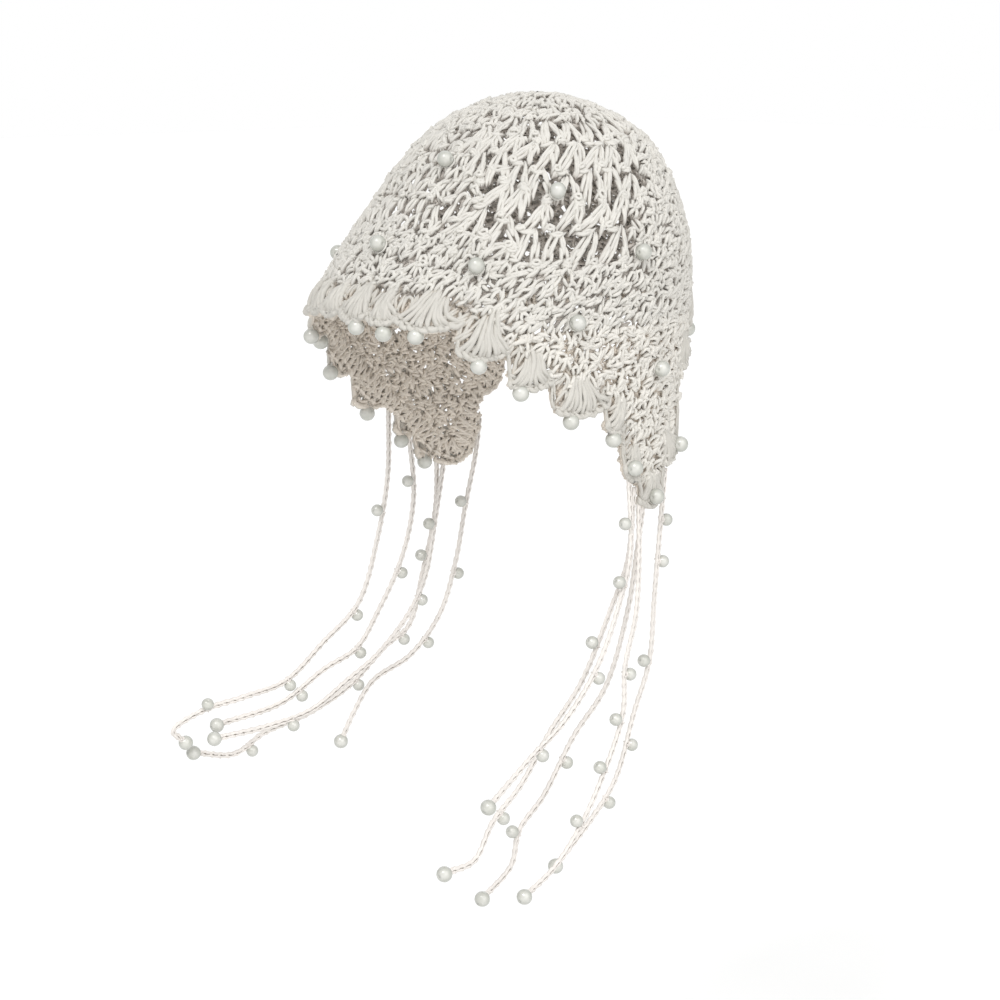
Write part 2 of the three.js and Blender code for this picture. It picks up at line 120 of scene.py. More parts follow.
# Each tie: its name, the turn where it leaves the hem, its route in millimetres, and
# # its pearls, each at a share of the length, on the side turned this far from the back, downwards
TIES = [
    ("tie_left_1", 97.5,
     [(79, -9, -218), (81, -18, -240), (84, -36, -269), (86, -58, -290), (89, -86, -305),
      (92, -112, -320)],
     [(0.12, 180), (0.28, 190), (0.53, 0), (0.79, 20)]),
    ("tie_left_2", 100,
     [(75, -7, -222), (74, -18, -246), (75, -38, -278), (76, -60, -299), (78, -80, -320),
      (80, -100, -334), (82, -113, -349), (83, -131, -351)],
     [(0.36, 170), (0.8, 10)]),
    ("tie_left_3", 105,
     [(72, 2, -222), (71, -2, -246), (70, -16, -284), (70, -38, -306), (70, -58, -332), (70, -74, -346),
      (71, -80, -362), (72, -98, -373)],
     [(0.63, 20), (0.83, 180)]),
    ("tie_left_4", 102.5,
     [(79, -3, -222), (82, -8, -248), (84, -17, -272), (86, -20, -294), (88, -34, -320), (90, -54, -346),
      (91, -70, -360), (92, -89, -369)],
     [(0.41, 10), (0.52, 180), (0.64, 180), (0.78, 190)]),
    ("tie_left_5", 117.5,
     [(70, 20, -216), (71, 16, -244), (72, 12, -276), (72, 2, -300), (73, -12, -332), (74, -32, -351),
      (75, -53, -366)],
     [(0.12, 0), (0.22, 0), (0.46, 180), (0.66, 0), (0.8, 10)]),
    ("tie_right_1", -85,
     [(-81, -30, -197), (-84, -35, -231), (-88, -45, -265), (-92, -66, -284), (-95, -88, -301),
      (-98, -113, -306), (-102, -137, -310), (-105, -153, -318), (-106, -146, -325)],
     [(0.23, 180), (0.46, 20), (0.67, 30), (0.87, 180)]),
    ("tie_right_2", -92.5,
     [(-79, -14, -211), (-82, -20, -243), (-86, -34, -272), (-88, -46, -289), (-91, -66, -298),
      (-94, -92, -312), (-99, -128, -318)],
     [(0.12, 180), (0.36, 0), (0.58, 40), (0.77, 30)]),
    ("tie_right_3", -105,
     [(-74, -3, -222), (-76, -8, -252), (-78, -17, -271), (-80, -38, -292), (-82, -58, -304),
      (-84, -80, -316), (-88, -106, -321), (-93, -134, -323)],
     [(0.16, 180), (0.35, 10), (0.8, 90)]),
    ("tie_right_4", -102.5,
     [(-80, 2, -219), (-84, -4, -254), (-86, -12, -282), (-89, -26, -292), (-92, -48, -310),
      (-97, -72, -322), (-102, -98, -329), (-106, -114, -338), (-109, -136, -334)],
     [(0.24, 180), (0.43, 40), (0.58, 20), (0.87, 90)]),
    ("tie_right_5", -117.5,
     [(-71, 23, -190), (-74, 18, -219), (-76, 13, -248), (-79, 4, -277), (-82, -14, -297),
      (-85, -38, -308), (-87, -50, -324), (-89, -56, -337)],
     [(0.23, 180), (0.43, 0), (0.63, 10)]),
]

# The camera: the photo's angle, how far it stands and what it looks at
CAMERA_AZIMUTH = 48.0
CAMERA_ELEVATION = 10.6
CAMERA_DISTANCE = 1.3
CAMERA_TARGET = Vector((-0.0116, -0.0129, -0.2029))
SENSOR_WIDTH = 36.0
FRAME_WIDTH = 0.511
FLOOR_DROP = 0.62
FLOOR_HALF = 12.0

# The light: how bright the room looks and how much it lights
ROOM_SEEN = 1.0
ROOM_LIGHT = 0.60
# Each lamp: its name, azimuth, elevation, softness and strength
LAMPS = [
    ("key", 28, 50, 35, 0.85),
    ("fill", 82, 30, 60, 1.15),
    ("spark", 22, 46, 9, 0.4),
    ("back", 235, 30, 80, 0.6),
]


def direction(azimuth, elevation):
    """The way from the cap towards an azimuth and elevation in degrees."""
    a = math.radians(azimuth)
    e = math.radians(elevation)
    return Vector((math.sin(a) * math.cos(e), -math.cos(a) * math.cos(e), math.sin(e)))


def new_object(name, data, away=None):
    """An object in the scene, which looks against the direction away if that is given."""
    item = bpy.data.objects.new(name, data)
    bpy.context.scene.collection.objects.link(item)
    if away:
        item.rotation_mode = "QUATERNION"
        item.rotation_quaternion = (-away).to_track_quat("-Z", "Y")
    return item


def make_camera():
    data = bpy.data.cameras.new("camera")
    data.sensor_width = SENSOR_WIDTH
    data.lens = SENSOR_WIDTH * CAMERA_DISTANCE / FRAME_WIDTH
    back = direction(CAMERA_AZIMUTH, CAMERA_ELEVATION)
    camera = new_object("camera", data, back)
    camera.location = CAMERA_TARGET + back * CAMERA_DISTANCE
    bpy.context.scene.camera = camera


# The cap's surface

def along(keys, values, at):
    """A smooth curve through one column of a table."""
    run, climb = np.pad([keys, values], ((0, 0), (1, 1)), "edge")
    slopes = (climb[2:] - climb[:-2]) / (run[2:] - run[:-2])
    i = np.clip(np.searchsorted(keys, at, side="left") - 1, 0, len(keys) - 2)
    span = keys[i + 1] - keys[i]
    rise = values[i + 1] - values[i]
    t = np.clip((at - keys[i]) / span, 0, 1)
    a = slopes[i] * span - rise
    b = rise - slopes[i + 1] * span
    return values[i] + t * rise + t * (1 - t) * (a * (1 - t) + b * t)


def profile(column, way):
    return along(PROFILE["way"], PROFILE[column], np.minimum(way, 1))


def drop_at_way(way):
    return CROWN_HEIGHT * np.where(way > 1, way, profile("drop", way))


WAY_SAMPLES = np.linspace(0, 1, 2001)
DROP_SAMPLES = drop_at_way(WAY_SAMPLES)


def way_at_drop(drop):
    on_crown = np.interp(drop, DROP_SAMPLES, WAY_SAMPLES)
    return np.where(drop >= CROWN_HEIGHT, drop / CROWN_HEIGHT, on_crown)


def on_surface(turn, way):
    """A point on the cap's outer surface, before any flare."""
    angle = np.radians(turn)
    narrowing = np.maximum(way - 1, 0) * FLAP_NARROWING * CROWN_HEIGHT / FLAP_REACH
    half_width = HALF_WIDTH * profile("width", way) - narrowing
    half_depth = HALF_DEPTH * profile("depth", way) - narrowing
    lean = FRONT_LEAN * profile("lean", way)
    return np.stack([half_width * np.sin(angle),
                     -half_depth * np.cos(angle) - lean,
                     WALL - drop_at_way(way) + 0 * angle], axis=-1)


# A small step of turn or way, and the least way at which a degree is measured
NEARBY = 0.01
LEAST_WAY = 0.03


def unit(vectors):
    return vectors / np.maximum(np.linalg.norm(vectors, axis=-1, keepdims=True), 1e-12)


def lengths(points):
    """How far along its path each point lies."""
    gaps = np.linalg.norm(np.diff(points, axis=-2), axis=-1)
    return np.concatenate([0 * gaps[..., :1], np.cumsum(gaps, axis=-1)], axis=-1)


def turned(x, y, angle):
    return x * np.cos(angle) - y * np.sin(angle), x * np.sin(angle) + y * np.cos(angle)


def outward(turn, way):
    """The surface's outward direction."""
    below = np.maximum(way, NEARBY)
    across = on_surface(turn + NEARBY, below) - on_surface(turn - NEARBY, below)
    down = on_surface(turn, below + NEARBY) - on_surface(turn, below - NEARBY)
    return unit(np.cross(down, across))


def wrapped_turn(turn):
    return (turn + 180) % 360 - 180


def hem_drop(turn):
    """The hem's drop below the crown's top, without its scallops."""
    wrapped = wrapped_turn(np.asarray(turn, float))
    left, right = (along(HEM["turn"], HEM[side], np.abs(wrapped)) for side in ("left", "right"))
    return BROW_DROP + FLAP_REACH * np.where(wrapped < 0, right, left)


def edging_top_drop(turn):
    """The drop of the edging's upper edge, straight between half columns."""
    pitch = 180 / COLUMNS
    before = np.floor(np.asarray(turn, float) / pitch) * pitch
    share = (turn - before) / pitch
    return hem_drop(before) * (1 - share) + hem_drop(before + pitch) * share - EDGING_HEIGHT


def crown_end_drop(turn):
    return np.minimum(edging_top_drop(turn), CROWN_HEIGHT) - 2 * SEAM_GAP


def flare_at(turn):
    return SIDE_FLARE + (BROW_FLARE - SIDE_FLARE) * np.maximum(np.cos(np.radians(turn)), 0)


def cloth(places):
    """Points of the cloth from their turns, ways and lifts, with the outward direction at each."""
    turn, way, lift = np.moveaxis(places, -1, 0)
    below_top = (drop_at_way(way) - edging_top_drop(turn)) / EDGING_HEIGHT
    height = lift + flare_at(turn) * np.clip(below_top, 0, 1) - WALL / 2
    out = outward(turn, way)
    return on_surface(turn, way) + out * height[..., None], out


def per_degree(turn, way):
    """How many metres one degree of turn measures there."""
    return np.linalg.norm(on_surface(turn + 0.5, way) - on_surface(turn - 0.5, way), axis=-1)


def per_way(turn, way):
    """How many metres a whole way measures at that steepness."""
    high = np.maximum(way - NEARBY, 0)
    low = high + 2 * NEARBY
    return np.linalg.norm(on_surface(turn, low) - on_surface(turn, high), axis=-1) / (2 * NEARBY)


def foot_of(point):
    """The place of the surface beside a point, and the outward direction there."""
    way = float(way_at_drop(WALL - point[2]))
    centre_y = -FRONT_LEAN * float(profile("lean", way))
    half_width = HALF_WIDTH * float(profile("width", way))
    half_depth = HALF_DEPTH * float(profile("depth", way))
    turn = math.degrees(math.atan2(point[0] / half_width, -(point[1] - centre_y) / half_depth))
    place = np.float64(turn), np.float64(way)
    return on_surface(*place), outward(*place)


# Yarn

def smooth(points, steps):
    """Smooth curves through control points, each as a number of evenly spaced parameters."""
    before = 2 * points[:, :1] - points[:, 1:2]
    after = 2 * points[:, -1:] - points[:, -2:-1]
    padded = np.concatenate([before, points, after], axis=1)
    at = np.linspace(0, points.shape[1] - 1, steps)
    i = np.minimum(at.astype(int), points.shape[1] - 2)
    t = (at - i)[None, :, None]
    p0, p1, p2, p3 = (padded[:, i + k] for k in range(4))
    return 0.5 * (2 * p1 + (p2 - p0) * t + (2 * p0 - 5 * p1 + 4 * p2 - p3) * t ** 2
                  + (3 * p1 - p0 - 3 * p2 + p3) * t ** 3)


def sweep(paths, diameter, outs=None, lifts=None, swell=0.0):
    """Round strands along paths: vertices, their heights in the cloth, faces and texture places.

    A strand with a swell is thicker in its middle and thinner towards its ends."""
    count, steps, _ = paths.shape
    tangents = unit(np.gradient(paths, axis=1))
    side = np.where(np.abs(tangents[:, 0, 2:]) < 0.8, (0.0, 0.0, 1.0), (1.0, 0.0, 0.0))
    sides = np.empty_like(paths)
    for step in range(steps):
        tangent = tangents[:, step]
        side = unit(side - (side * tangent).sum(-1, keepdims=True) * tangent)
        sides[:, step] = side
    thirds = np.cross(tangents, sides)
    angle = 2 * np.pi * np.arange(YARN_SIDES) / YARN_SIDES
    middle = np.sin(np.pi * np.linspace(0, 1, steps)).clip(0, 1) ** 0.7
    radius = diameter / 2 * (1 + swell * (1.5 * middle - 1))
    radius[[0, -1]] *= YARN_END_SHARE
    ring = (sides[:, :, None] * np.cos(angle)[None, None, :, None]
            + thirds[:, :, None] * np.sin(angle)[None, None, :, None]) * radius[None, :, None, None]
    vertices = (paths[:, :, None] + ring).reshape(-1, 3)
    if outs is None:
        heights = np.full(len(vertices), WALL)
    else:
        heights = ((ring * outs[:, :, None]).sum(-1) + lifts[:, :, None]).reshape(-1)

    grid = np.arange(count * steps * YARN_SIDES).reshape(count, steps, YARN_SIDES)
    beside = np.roll(grid, -1, axis=2)
    quads = np.stack([grid[:, :-1], beside[:, :-1], beside[:, 1:], grid[:, 1:]], -1).reshape(-1, 4)
    caps = np.concatenate([grid[:, 0, ::-1], grid[:, -1]])

    uv = np.stack(np.broadcast_arrays(np.arange(YARN_SIDES) / YARN_SIDES, lengths(paths)[:, :, None]), -1)
    uv_beside = uv + (1 / YARN_SIDES, 0)
    quad_uv = np.stack([uv[:, :-1], uv_beside[:, :-1], uv_beside[:, 1:], uv[:, 1:]], -2).reshape(-1, 2)
    cap_uv = np.concatenate([uv[:, 0], uv[:, -1]]).reshape(-1, 2)
    return vertices, heights, [quads, caps], [quad_uv, cap_uv]


def mesh_object(name, vertices, faces, uvs, material, heights=None):
    """An object from arrays: faces is a list of arrays, each of faces with one number of corners."""
    mesh = bpy.data.meshes.new(name)
    corners = np.concatenate([f.reshape(-1) for f in faces])
    sizes = np.concatenate([np.full(len(f), f.shape[1]) for f in faces])
    starts = np.concatenate([[0], np.cumsum(sizes)[:-1]])
    mesh.vertices.add(len(vertices))
    mesh.vertices.foreach_set("co", vertices.astype(np.float32).reshape(-1))
    mesh.loops.add(len(corners))
    mesh.loops.foreach_set("vertex_index", corners.astype(np.int32))
    mesh.polygons.add(len(sizes))
    mesh.polygons.foreach_set("loop_start", starts.astype(np.int32))
    mesh.polygons.foreach_set("use_smooth", np.ones(len(sizes), bool))
    layer = mesh.uv_layers.new(name="strand")
    layer.data.foreach_set("uv", np.concatenate(uvs).astype(np.float32).reshape(-1))
    if heights is not None:
        held = mesh.attributes.new("height", "FLOAT", "POINT")
        held.data.foreach_set("value", heights.astype(np.float32))
    mesh.update(calc_edges=True)
    mesh.validate()
    mesh.materials.append(material)
    return new_object(name, mesh)


def joined_piece(name, parts, material, nodes):
    """One piece from parts, each its vertices, heights in the cloth, faces and texture places."""
    vertices, heights, faces, uvs = zip(*parts)
    starts = np.cumsum([0] + [len(made) for made in vertices])
    faces = [np.concatenate([f[i] + start for f, start in zip(faces, starts)]) for i in range(2)]
    uvs = [uv[i] for i in range(2) for uv in uvs]
    heights = None if heights[0] is None else np.concatenate(heights)
    piece = mesh_object(name, np.concatenate(vertices), faces, uvs, material, heights)
    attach(piece, "root")
    if nodes:
        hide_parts(*nodes)
    return piece


def yarn_piece(name, bundles, material, nodes=()):
    """One piece from bundles of strands, each a set of paths, a diameter and its heights in the cloth."""
    return joined_piece(name, [sweep(*bundle) for bundle in bundles], material, nodes)


# Stitches: each is a list of strands, a strand's points being (across, down, lift).
# They are given in hundredths of the stitch's width, its row's height and the yarn's diameter.

def stitch(*lines):
    return [np.array(line) / 100 for line in lines]


# Tall posts of two strands, one held a little aside by the loop that crosses it
POST = stitch(
    [(-10, -8, -30), (-16, 14, 30), (-18, 48, 40), (-14, 82, 10), (2, 108, -50)],
    [(12, -8, -30), (15, 14, 30), (12, 50, 40), (14, 85, 10), (-4, 108, -40)],
)
TIED_POST = POST + stitch([(-34, 38, -40), (-12, 30, 85), (18, 22, 85), (36, 15, -30)])

# Short stitches of the dense cloth: open and closed V, a slanted pair, and a curl round a post
SHORT_V = stitch(
    [(-46, -14, 50), (-40, 22, 60), (-20, 62, 30), (4, 102, -50)],
    [(40, -16, 30), (34, 22, 60), (18, 62, 50), (-2, 104, -30)],
    [(-30, 106, -40), (-16, 84, 70), (14, 80, 80), (34, 104, -10)],
)
SHORT_A = stitch(
    [(2, -16, 50), (-14, 24, 70), (-28, 62, 40), (-40, 106, -40)],
    [(-4, -12, -10), (16, 26, 50), (30, 64, 50), (42, 104, -30)],
    [(-52, 24, -50), (-18, 2, 50), (24, -6, 80), (54, 14, 0)],
)
SHORT_SLANT = stitch(
    [(44, -14, 0), (26, 18, 60), (-4, 52, 70), (-34, 86, 30), (-46, 108, -50)],
    [(66, 0, -30), (46, 34, 50), (18, 68, 60), (-10, 102, -20)],
    [(-50, 6, 30), (-20, 16, 70), (6, 42, 20), (14, 78, -40)],
)
SHORT_CURL = stitch(
    [(-34, 104, -40), (-40, 54, 40), (-16, 8, 80), (22, 10, 80), (32, 46, 50), (12, 74, -10)],
    [(48, -14, 10), (44, 30, 60), (32, 72, 50), (10, 108, -30)],
)
SHORT_STITCHES = [SHORT_V, SHORT_A, SHORT_SLANT, SHORT_CURL]
BACK_BARS = stitch(
    [(-66, 12, -40), (-22, 28, -80), (24, 52, -80), (66, 70, -40)],
    [(-52, 106, -50), (-16, 72, -90), (20, 36, -90), (52, -4, -50)],
)
CLOSE_BARS = BACK_BARS + stitch(
    [(-30, -14, -50), (-18, 26, -100), (2, 68, -100), (18, 112, -50)],
    [(-62, 86, -50), (-20, 98, -100), (24, 88, -100), (62, 98, -50)],
)

# The loops along a row's edge, and the curl round the point where strands meet
LINE = stitch(
    [(-60, 10, -10), (-26, -18, 50), (16, -16, 70), (48, 8, 30), (70, 24, -30)],
    [(-58, 20, -40), (-22, 26, 30), (20, 16, 50), (56, -10, 50), (72, -20, 0)],
)
KNOT = stitch(
    [(-56, 56, -40), (-34, 4, 60), (4, -26, 90), (36, 0, 80), (40, 60, -20)],
    [(-44, -50, -20), (-20, 8, 70), (10, 26, 90), (40, 2, 50), (54, -56, -40)],
)

# Open mesh: a slanted and an upright cell, and the strands that droop from one nexus to the next
SLANTED_CELL = stitch(
    [(86, -10, 20), (84, 22, 40), (85, 52, 40), (88, 82, 20), (95, 108, -40)],
    [(98, -8, 0), (100, 22, 30), (101, 52, 30), (102, 82, 20), (103, 108, -40)],
    [(84, -6, 30), (62, 20, 50), (36, 52, 45), (13, 80, 20), (-2, 104, -40)],
    [(94, -4, 30), (74, 22, 50), (48, 55, 40), (25, 84, 20), (9, 106, -40)],
    [(104, 0, 0), (86, 26, 20), (60, 60, 10), (36, 90, 0), (20, 110, -50)],
    [(92, -4, 50), (106, 14, 40), (116, 34, 20), (120, 56, -40)],
)
UPRIGHT_CELL = stitch(
    [(50, -10, 10), (40, 22, 40), (28, 55, 40), (18, 85, 20), (14, 108, -40)],
    [(42, -6, 30), (28, 24, 40), (16, 57, 30), (6, 87, 10), (2, 108, -40)],
    [(34, -4, 0), (17, 26, 10), (4, 58, 0), (-6, 88, 0), (-10, 108, -50)],
    [(52, -10, 10), (60, 24, 40), (67, 55, 40), (72, 85, 20), (74, 108, -40)],
    [(60, -6, 30), (72, 24, 40), (79, 55, 30), (84, 85, 10), (86, 108, -40)],
)
BRIDGE = stitch(
    [(-8, -2, 30), (22, 5, 60), (50, 8, 40), (78, 3, 60), (108, -2, 30)],
    [(-8, 8, 10), (20, -1, 10), (50, -5, 50), (80, -1, 10), (108, 8, 10)],
)
# Strands along a row's lower edge, from where its legs end to where the next row's begin
SLANTED_JOIN = stitch(
    [(-6, 46, 20), (16, 54, 60), (38, 55, 50), (60, 45, 0)],
    [(4, 56, 0), (20, 47, 30), (40, 48, 60), (52, 60, 10)],
)
UPRIGHT_JOIN = stitch(
    [(66, 40, 10), (80, 53, 60), (98, 56, 60), (114, 44, 0)],
    [(70, 62, 0), (86, 48, 50), (102, 48, 60), (112, 64, 0)],
    [(80, 34, 30), (84, 46, 50), (90, 56, 50), (94, 68, 20)],
    [(102, 34, 20), (100, 46, 40), (98, 58, 40), (98, 68, 10)],
)


def halved(template):
    """The template with each long strand as two short ones that overlap and lie a little aside."""
    short = []
    for number, strand in enumerate(template):
        if len(strand) < 5:
            short.append(strand)
            continue
        points = np.array(strand)
        aside = np.array([0.03 if number % 2 else -0.03, 0, 0])
        under = np.array([0, 0, 0.3])
        upper = np.vstack([points[:3], points[2:4].mean(axis=0) - under]) + aside
        lower = np.vstack([points[1:3].mean(axis=0) - under, points[2:]]) - aside
        short += [upper, lower]
    return short


def stitches(template, turn, way, width, height, random, slant=0.0, scatter=STRAND_SCATTER, wander=0.0004,
             turning=STITCH_TURNING):
    """Copies of a stitch at turns and ways, each with its width in degrees and height in ways.

    Gives one array of cloth places for each strand of the template."""
    turn = np.asarray(turn, float)
    way, width, height, slant = (np.broadcast_to(x, turn.shape).astype(float)
                                 for x in (way, width, height, slant))
    round_scale = per_degree(turn, np.maximum(way, LEAST_WAY))
    down_scale = per_way(turn, way)
    shift = random.normal(0, wander, (2, len(turn), 1))
    angle = random.normal(0, turning, (len(turn), 1))
    size = random.normal(1, SIZE_SCATTER, (len(turn), 1))
    made = []
    for strand in template:
        across, down, lift = np.array(strand).T
        noise = random.normal(0, scatter, (3, len(turn), len(strand)))
        x = (width * round_scale)[:, None] * (across + slant[:, None] * (0.5 - down)) * size
        y = (height * down_scale)[:, None] * (down - 0.5) * size
        x, y = turned(x, y, angle)
        made.append(np.stack([
            turn[:, None] + (x + shift[0] + noise[0]) / round_scale[:, None],
            way[:, None] + height[:, None] / 2 + (y + shift[1] + noise[1]) / down_scale[:, None],
            YARN * lift + noise[2] * 0.8,
        ], axis=-1))
    return made


def mixed(templates, turn, way, width, height, random, slant=0.0, **more):
    """Stitches of several kinds, one chosen at random for each place."""
    kind = random.integers(len(templates), size=len(turn))
    way, width, height, slant = (np.broadcast_to(x, np.shape(turn)) for x in (way, width, height, slant))
    made = []
    for i, template in enumerate(templates):
        own = kind == i
        made += stitches(template, turn[own], way[own], width[own], height[own], random, slant[own], **more)
    return made


def warped(places):
    """The places moved a little by slow waves, as hand work is never quite even."""
    turn, way, lift = np.moveaxis(places, -1, 0)
    a = np.radians(turn)
    wave = np.sin(5 * a + 9 * way + 1.0) + np.sin(11 * a - 23 * way + 2.1) + np.sin(17 * a + 41 * way)
    wave_down = np.sin(7 * a - 11 * way + 0.4) + np.sin(13 * a + 29 * way + 4.0) + np.sin(3 * a + 47 * way)
    share = np.clip(way * 4, 0, 1)
    return np.stack([turn + 0.32 * wave * share, way + 0.0035 * wave_down * share, lift], axis=-1)


def strands(made, diameter=YARN):
    """Bundles of strands from cloth places: smooth, in metres and evenly stepped."""
    bundles = []
    for places in made:
        if len(places) == 0:
            continue
        rough = cloth(warped(places))[0]
        length = lengths(rough)[:, -1].mean()
        steps = max(int(round(length / YARN_STEP)) + 1, places.shape[1])
        fine = warped(smooth(places, steps))
        paths, outs = cloth(fine)
        bundles.append((paths, diameter, outs, fine[..., 2], YARN_SWELL))
    return bundles


# The crown

def crown_way(turn, row):
    return way_at_drop(crown_end_drop(turn)) * row / CROWN_ROWS


def crown_stitches(random):
    """All the crown's stitches, as cloth places."""
    made = []
    for row, (cells, first, last) in enumerate(ROWS):
        width = 360 / cells
        middle = wrapped_turn((np.arange(cells) + 0.5) * width)
        from_brow = np.abs(middle)
        is_open = (from_brow > first) & (from_brow < last)
        is_tall = ~is_open & ((from_brow < 45) | (row < 4)) & (row < 8)
        is_short = ~is_open & ~is_tall
        top = crown_way(middle, row)
        height = crown_way(middle, row + 1) - top
        is_slanted = row % 2 == 0
        joins = SLANTED_JOIN if is_slanted else UPRIGHT_JOIN
        if ROWS[min(row + 1, CROWN_ROWS - 1)][0] != cells:
            joins = SLANTED_JOIN + UPRIGHT_JOIN
        for kind, here, more in ((open_row, is_open, (is_slanted, joins)), (tall_row, is_tall, ()),
                                 (short_rows, is_short, ())):
            if here.any():
                made += kind(middle[here], top[here], width, height[here], random, *more)
    return made


def spread(middle, width, pitch, way):
    """Turns of the stitches that fill cells of a width in degrees, at about a pitch in metres."""
    scale = per_degree(middle[0], max(way, LEAST_WAY))
    count = max(int(round(width * scale / pitch)), 1)
    shares = (np.arange(count) + 0.5) / count - 0.5
    turns = (middle[:, None] + width * shares).reshape(-1)
    return turns, width / count, count


def knots(turn, way, random):
    """A curl of yarn round each of these places."""
    width = KNOT_WIDTH / per_degree(turn, np.maximum(way, LEAST_WAY))
    height = KNOT_WIDTH / per_way(turn, way)
    return stitches(KNOT, turn, way - height / 2, width, height, random)


def open_row(middle, top, width, height, random, is_slanted, joins):
    """Cells of open mesh, with the strands and knots along their lower edge."""
    corner = middle - width / 2
    template = halved(SLANTED_CELL if is_slanted else UPRIGHT_CELL)
    nexus = 0.0 if is_slanted else 0.8
    made = stitches(template, corner, top, width, height, random, scatter=0.00035, wander=0.0007)
    bridged = random.random(len(middle)) < BRIDGED
    made += stitches(BRIDGE, corner[bridged], top[bridged] + 0.5 * height[bridged], width, height[bridged],
                     random, turning=0.25)
    made += stitches(joins, corner, top + 0.5 * height, width, height, random, turning=0.06)
    made += knots(corner + nexus * width, top + height, random)
    return made


def tall_row(middle, top, width, height, random):
    """Posts that lean to and fro, over a row of short stitches."""
    turns, pitch, count = spread(middle, width, POST_PITCH, (top + height / 2).mean())
    tops = np.repeat(top, count)
    heights = np.repeat(height, count)
    posts = POST_SHARE * heights
    sway = np.where(np.arange(len(turns)) % 2 == 0, *POST_SWAYS)
    slant = sway + random.normal(0, 0.20, len(turns))
    made = mixed([POST, TIED_POST], turns, tops, pitch, posts, random, slant, wander=0.0006, turning=0.16)
    made += dense(turns + pitch / 2, tops + posts, pitch, heights - posts, random)
    some = random.random(len(turns)) < POST_KNOTS
    made += knots(turns[some] + pitch / 2, (tops + heights)[some], random)
    return made


def dense(turn, way, width, height, random, bars=BACK_BARS):
    """Short stitches of all kinds, turned this way and that, with bars behind them and some loops under."""
    slant = random.normal(*DENSE_SLANT, len(turn))
    made = mixed(SHORT_STITCHES, turn, way, width, height, random, slant, scatter=0.00045, wander=0.0009,
                 turning=DENSE_TURNING)
    made += stitches(bars, turn, way, width, height, random, wander=0.0010, turning=DENSE_TURNING)
    line = random.random(len(turn)) < DENSE_LOOPS
    height, way = (np.broadcast_to(x, turn.shape)[line] for x in (height, way))
    made += stitches(LINE, turn[line], way - 0.3 * height, width, 0.6 * height, random,
                     turning=DENSE_TURNING)
    return made


def short_rows(middle, top, width, height, random):
    """Dense cloth: each row is a few rows of short stitches."""
    made = []
    turns, pitch, count = spread(middle, width, SHORT_PITCH, (top + height / 2).mean())
    heights = np.repeat(height, count) / SHORT_ROWS
    for row in range(SHORT_ROWS):
        tops = np.repeat(top, count) + row * heights
        made += dense(turns + row * pitch / 2, tops, pitch, heights, random)
    return made


def chosen(made, keep):
    """The strands whose middle point passes a test of turn and way."""
    picked = []
    for places in made:
        middle = places[:, places.shape[1] // 2]
        picked.append(places[keep(wrapped_turn(middle[:, 0]), middle[:, 1])])
    return picked


# The flaps: the turns between which stitches may stand, how far apart, and their rows' height
FLAP_TURNS = (30, 158)
FLAP_PITCH = 3.0
FLAP_ROW = 0.0052


def flap_stitches(side, random):
    """Dense stitches in level rows from the crown's end down to the edging."""
    made = []
    turns = side * np.arange(*FLAP_TURNS, FLAP_PITCH)
    start = CROWN_HEIGHT - 2 * SEAM_GAP
    for row in range(int(math.ceil(FLAP_REACH / FLAP_ROW))):
        drop = start + row * FLAP_ROW
        inside = turns[edging_top_drop(turns) > drop + 0.1 * FLAP_ROW]
        inside = inside + FLAP_PITCH / 2 * (row % 2)
        way = np.full(len(inside), drop / CROWN_HEIGHT)
        made += dense(inside, way, FLAP_PITCH, FLAP_ROW / CROWN_HEIGHT, random, CLOSE_BARS)
    return made


# The edging

def scallops():
    left = list(zip(SCALLOP_ENDS[:-1], SCALLOP_ENDS[1:]))
    right = [(-end, -start) for start, end in reversed(left)]
    return right + left


def scallop_drop(start, end, share):
    middle = hem_drop((start + end) / 2)
    return middle + SCALLOP_DEPTH * (np.sin(np.pi * share) - 0.5)


def edging_end_drop(turn):
    start, end = next(s for s in scallops() if s[0] <= turn < s[1])
    share = (turn - start) / (end - start)
    return max(scallop_drop(start, end, share), hem_drop(turn) - EDGING_HEIGHT / 2)


# A shell: how many stitches it has, how high it reaches, how far its tips pass the scallop, and its yarn
SHELL_RAYS = 10
SHELL_REACH = 0.0165
SHELL_TIP = 0.0010
SHELL_YARN = 0.0026
# A rib: how far it bows aside and outwards, and the share along and the lift of its points
SHELL_BOW = 0.0020
SHELL_CREST = 0.0011
SHELL_RIB = [(-0.06, -0.6), (0.2, 0.3), (0.5, 0.5), (0.8, 0.5), (1, 0.1)]

# The loops between two ribs' tips: the share across, how far past the tips, in loops, and the lift
TIP_LOOP = 0.0011
TIP_LOOPS = [
    [(0, -2, -0.0006), (0, 0.3, 0.0012), (0.5, 1, 0.001), (1, 0.3, 0.0002), (1, -1.6, -0.001)],
    [(1, -1.8, -0.0008), (1, 0.2, -0.0006), (0.5, 0.7, -0.001), (0, 0.2, -0.0008), (0, -1, -0.001)],
]


